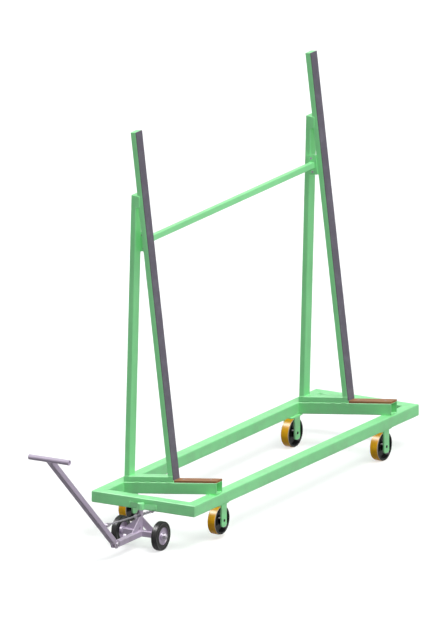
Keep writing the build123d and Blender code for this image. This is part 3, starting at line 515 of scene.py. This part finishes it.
for x in CASTOR_X:
    for side in (-1, 1):
        for end in (x - PLATE_END, x + PLATE_END):
            bead(small, *([end, side * y, RAIL_LOW] for y in PLATE_Y), 2.2)
        bead(small, *([x + end, side * PLATE_INNER, RAIL_LOW - 0.5]
                      for end in (-PLATE_INNER_HALF, PLATE_INNER_HALF)), 2.0)
        for leg in (side * CASTOR_Y - LEG_OUT, side * CASTOR_Y + LEG_OUT):
            bead(small, [x - LEG_HALF, leg, LEG_TOP], [x + LEG_HALF, leg, LEG_TOP], 2.0)
small.piece("rack_small_welds", "green_paint", "rack")

# Welds of the coupling's wings and socket: X, Y and radius of the upright beads
WING_LOW, WING_TOP = 175.0, 198.0
WING_BEADS = ((-1.0, 78.0, 2.4), (-1.0, 72.5, 2.2), (-34.0, 13.6, 2.0))
coupling = Surface()
for side in (-1, 1):
    for x, y, radius in WING_BEADS:
        bead(coupling, [x, side * y, WING_LOW], [x, side * y, WING_TOP], radius)
coupling.piece("coupling_welds", "green_paint", "rack")

# Screws that hold the wood battens
screw_head = [(0.6, 0.0), (0.6, 1.2), (-0.05, 1.9), (-0.1, 4.6), (0.2, 5.2), (1.2, 5.0), (1.3, 0.0)]
batten_top, screw_places = 11.35, (-45.0, -205.0)
screws = Surface()
for x0 in UPRIGHTS:
    for x in screw_places:
        lathe(screws, frame_point(x0, x, batten_top, FOOT / 2), frame_way(0, -1, 0), screw_head, 36)
screws.piece("batten_screws", "zinc", "rack")

# Washers of the flange bolts
washer = [(0.0, 3.1), (0.0, 5.8), (0.2, 6.0), (0.9, 6.0), (1.1, 5.8), (1.1, 3.1)]
BOLT_UP = 35.0
washers = Surface()
for x0, face, away in FLANGE_FACES:
    for up in (-BOLT_UP, BOLT_UP):
        lathe(washers, frame_point(x0, bar_y, bar_up + up, face), [away, 0, 0], washer, 40)
washers.piece("flange_bolt_washers", "green_paint", "rack")

# Black plugs over the ends of the castor axles
plug, axle_end = [(-0.6, 0.0), (-0.6, 7.4), (1.3, 7.4), (1.9, 6.6), (2.1, 3.0), (2.1, 0.0)], 34.0
plugs = Surface()
for x in CASTOR_X:
    for side in (-1, 1):
        for leg in (-1, 1):
            lathe(plugs, [x, side * CASTOR_Y + leg * axle_end, WHEEL_R], [0, leg, 0], plug, 40)
plugs.piece("castor_axle_plugs", "wheel_core", "rack")

# Bearing seals in the castor hubs
seal_face = 24.4
seal = [(0.0, 10.4), (0.0, 19.0), (0.35, 19.4), (0.6, 18.2), (0.45, 14.0), (0.7, 11.4), (0.7, 10.4)]
for end, x in zip(("tow", "far"), CASTOR_X):
    for place, side in (("front", -1), ("rear", 1)):
        seals = Surface()
        for sign in (-1, 1):
            lathe(seals, [x, side * CASTOR_Y + sign * seal_face, WHEEL_R], [0, sign, 0], seal, 56)
        seals.piece("castor_%s_%s_seals" % (end, place), "zinc", "castor_%s_%s" % (end, place))

# Tyres: a half section of (distance from the middle, radius) pairs, mirrored and turned about the
# axle, with four grooves round the running face and a raised bead on each shoulder
half_tyre = [(0.0, 75.0), (0.4, 75.0), (0.6, 75.0), (0.9, 73.8), (1.9, 73.8), (2.2, 75.0), (2.4, 75.0),
             (6.4, 75.0), (6.6, 75.0), (6.9, 73.6), (8.3, 73.6), (8.6, 74.9), (8.8, 74.9), (11.4, 74.7),
             (12.6, 74.45), (13.6, 74.0), (14.4, 73.3), (14.9, 72.6), (15.5, 70.4), (15.5, 67.6),
             (14.6, 66.4), (14.2, 62.0), (14.4, 57.0), (15.4, 53.5), (16.0, 51.0), (16.1, 47.5),
             (15.9, 45.0), (15.3, 44.6), (12.0, 50.0)]
tyre_profile = np.array([(-w, r) for w, r in half_tyre[:0:-1]] + half_tyre)
DOLLY_WHEEL_Y = 116.5
turn = np.linspace(0, 2 * pi, 180, endpoint=False)[:, None]
width, radius = tyre_profile[None, :, 0], tyre_profile[None, :, 1]
for name, side in (("front", -1), ("rear", 1)):
    tyre = Surface()
    tyre.ring(np.stack([MAST_X + radius * np.cos(turn), side * DOLLY_WHEEL_Y + width + 0 * turn,
                        AXLE_Z + radius * np.sin(turn)], axis=-1), turned=True)
    made = tyre.piece("tyre_" + name, "tyre", "dolly_wheel_" + name)
    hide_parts("dolly_" + name + "_tyre")

# Welds of the dolly: round the mast's foot, along the three braces, and at both ends of the arm
beam_top, mast_foot, mast_face = AXLE_Z + 15, 11.9, 10.6
brace_face, brace_foot, brace_up = 3.2, (41.0, 92.0), (90.0, 131.0)
ARM_ENDS = ((MAST_X - 15.4, 14.0, 2.4), (-247.6, 12.0, 1.6))
dolly = Surface()
loop_bead(dolly, circle_line([MAST_X, 0, beam_top + WELD_SINK], [0, 0, 1], mast_foot), [0, 0, 1], 2.6)
for out in ([0, -1, 0], [0, 1, 0], [-1, 0, 0]):
    out = np.array(out, float)
    for face in (-brace_face, brace_face):
        near = np.array([MAST_X, 0, 0]) + face * np.cross(out, [0, 0, 1.0])
        bead(dolly, *(near + out * reach + [0, 0, beam_top] for reach in brace_foot), 2.0)
        bead(dolly, *(near + out * mast_face + [0, 0, up] for up in brace_up), 2.0)
for x, half, radius in ARM_ENDS:
    rectangle_beads(dolly, [x, 0, AXLE_Z], [0, 1, 0], [0, 0, 1], half, half, radius)
dolly.piece("dolly_welds", "tow_paint", "dolly")

# Welds of the drawbar: at its fork plates, under the stay lug and under the handle
bar_dir = np.array([-cos(BAR_ANGLE), 0, sin(BAR_ANGLE)])
bar_up_dir = np.array([sin(BAR_ANGLE), 0, cos(BAR_ANGLE)])
LUG_ALONG, LUG_TOP, LUG_HALF, LUG_SIDE = 143.7, 15.2, 9.0, 3.2
FORK_ALONG, FORK_SIDE, FORK_BEAD = 34.0, 11.5, (2.0, 11.0)
HANDLE_GAP, HANDLE_SIDE, HANDLE_BEAD = 11.5, 14.6, (1.0, 12.0)
pulling = Surface()
for side in (-1, 1):
    fork = PIVOT + bar_dir * FORK_ALONG + [0, side * FORK_SIDE, 0]
    for sign in (-1, 1):
        bead(pulling, *(fork + bar_up_dir * sign * up for up in FORK_BEAD), 1.6)
    lug = PIVOT + bar_dir * LUG_ALONG + bar_up_dir * LUG_TOP + [0, side * LUG_SIDE, 0]
    bead(pulling, lug - bar_dir * LUG_HALF, lug + bar_dir * LUG_HALF, 2.0)
    top = HANDLE - bar_dir * HANDLE_GAP + [0, side * HANDLE_SIDE, 0]
    for sign in (-1, 1):
        bead(pulling, *(top + bar_up_dir * sign * up for up in HANDLE_BEAD), 2.0)
pulling.piece("drawbar_welds", "tow_paint", "drawbar")

# The stay's line, from its pin on the lug through the mast's slot; along it behind the mast come the
# seat, the spring with its gaps, the washer and the nuts
PIN_UP = 29.2
PIN = PIVOT + LUG_ALONG * bar_dir + PIN_UP * bar_up_dir
SLOT = np.array([MAST_X, 0, 144.0])
reach = np.linalg.norm(SLOT - PIN)
stay_dir = (SLOT - PIN) / reach
SEAT, FRONT_GAP, SPRING_LENGTH, REAR_GAP, WASHER, NUTS = 9.0, 1.0, 104.0, 0.2, 2.5, 13.2
spring_start = reach + SEAT + FRONT_GAP
spring_end = spring_start + SPRING_LENGTH
tail = spring_end + REAR_GAP + WASHER

# Threads of the stay, the dolly's axle ends and the pivot bolt, each from where it comes out
ROD_THREAD = {"radius": 4.0, "pitch": 1.25, "depth": 0.7}
LOCK_NUT, STUB_END, BOLT_NUT = 37.0, 149.6, 22.6
threads = Surface()
thread(threads, PIN + stay_dir * LOCK_NUT, stay_dir, 96, **ROD_THREAD)
thread(threads, PIN + stay_dir * (tail + NUTS), stay_dir, 3.6, **ROD_THREAD)
threads.piece("stay_threads", "zinc", "stay")
ends = Surface()
for side in (-1, 1):
    thread(ends, [MAST_X, side * STUB_END, AXLE_Z], [0, side, 0], 2.8, radius=8.0, pitch=2.0, depth=0.9)
ends.piece("stub_axle_threads", "zinc", "dolly")
bolt_end = Surface()
thread(bolt_end, PIVOT + [0, BOLT_NUT, 0], [0, 1, 0], 2.8, radius=6.0, pitch=1.75, depth=0.9)
bolt_end.piece("pivot_bolt_thread", "zinc", "drawbar")

# Return spring: a round wire whose middle climbs a helix about the stay, slower at both ends so that
# the last turns nearly close.
coil = Surface()
_, side, up = across(stay_dir)
turns, wire, mean, dead = 7, 1.5, 7.0, 0.06  # wire and mean are radii, dead the share of an end
share = np.linspace(0, 1, turns * 40 + 1)[:, None]
climb = np.clip((share - dead) / (1 - 2 * dead), 0, 1)
climb = climb * climb * (3 - 2 * climb) * 0.25 + climb * 0.75
along = wire + (SPRING_LENGTH - 2 * wire) * climb + 0.35 * wire * (share - climb)
turn = 2 * pi * turns * share
radial = np.cos(turn) * side + np.sin(turn) * up
centre = PIN + stay_dir * spring_start + along * stay_dir + mean * radial
angle = np.linspace(0, 2 * pi, 14, endpoint=False)[None, :, None]
points = centre[:, None] + wire * (np.cos(angle) * radial[:, None] + np.sin(angle) * stay_dir)
coil.grid(points[:, ::-1], caps=True)
spring = coil.piece("return_spring", "zinc", "stay")
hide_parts("stay_spring")
anchor = row(PIN + stay_dir * spring_end)
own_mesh(spring)

# Floor: white where it is seen or mirrored, dark for the light that it would throw up
FLOOR = 60.0
floor = bpy.data.meshes.new("floor")
floor.from_pydata([(-FLOOR, -FLOOR, 0), (FLOOR, -FLOOR, 0), (FLOOR, FLOOR, 0), (-FLOOR, FLOOR, 0)],
                  [], [(0, 1, 2, 3)])
ground = Paint("floor")
pale = ground.mix(ground.noise(0.4), rgb(0.95, 0.95, 0.95), rgb(0.97, 0.97, 0.97))
ground.set(Base_Color=ground.mix(shown(ground.tree), rgb(0.06, 0.06, 0.06), pale), Roughness=0.9)
floor.materials.append(ground.material)
floor_object = bpy.data.objects.new("floor", floor)
bpy.context.scene.collection.objects.link(floor_object)

# World: white where it is seen or mirrored, and a plain soft light
scene = bpy.context.scene
scene.view_settings.view_transform = "Standard"
world = bpy.data.worlds.new("studio")
scene.world = world
world.use_nodes = True
tree = world.node_tree
background = tree.nodes["Background"]
white = tree.nodes.new("ShaderNodeBackground")
white.inputs[0].default_value = rgb(1, 1, 1)
background.inputs[0].default_value = rgb(0.97, 0.985, 1.0)
background.inputs[1].default_value = 0.39
choose = tree.nodes.new("ShaderNodeMixShader")
tree.links.new(shown(tree).socket, choose.inputs[0])
tree.links.new(background.outputs[0], choose.inputs[1])
tree.links.new(white.outputs[0], choose.inputs[2])
tree.links.new(choose.outputs[0], tree.nodes["World Output"].inputs[0])


def sun(name, toward, strength, angle, shadow=True, gloss=False):
    """Soft parallel light that comes from a direction; a gloss light shows only as glints."""
    data = bpy.data.lights.new(name, "SUN")
    data.energy, data.angle, data.use_shadow = strength, radians(angle), shadow
    made = bpy.data.objects.new(name, data)
    made.visible_diffuse = not gloss
    made.rotation_euler = Vector(toward).to_track_quat("Z", "Y").to_euler()
    scene.collection.objects.link(made)


sun("key", (-0.12, -0.38, 0.78), 1.0, 30)
sun("fill", (-0.12, -0.38, 0.78), 1.75, 10, shadow=False)
sun("glint", (-0.3, 0.484, 0.82), 9.5, 22, shadow=False, gloss=True)
sun("head", (-0.835, -0.484, 0.264), 2.2, 36, shadow=False, gloss=True)

# Camera: a parallel view, as the drawing is, upright to the rack and not to the floor. The picture's
# height and scale are in pixels and pixels per millimetre, its middle is a level point.
PICTURE_HEIGHT, PICTURE_SCALE, PICTURE_MIDDLE = 637, 0.198, [780.5, 0.0, 981.2]
azimuth, elevation, distance = radians(-59.906), radians(15.29), 12.0
right = np.array([cos(azimuth), sin(azimuth), 0.0])
back = np.array([sin(azimuth) * cos(elevation), -cos(azimuth) * cos(elevation), sin(elevation)])
upward = np.cross(back, right)
place = np.eye(4)
place[:3, :3] = TURN @ np.stack([right, upward, back], axis=1)
place[:3, 3] = row(PICTURE_MIDDLE) + place[:3, 2] * distance
camera = bpy.data.cameras.new("camera")
camera.type, camera.ortho_scale = "ORTHO", PICTURE_HEIGHT / PICTURE_SCALE / 1000
camera.clip_start, camera.clip_end = 0.1, 100.0
camera_object = bpy.data.objects.new("camera", camera)
scene.collection.objects.link(camera_object)
camera_object.matrix_world = Matrix(place.tolist())
scene.camera = camera_object
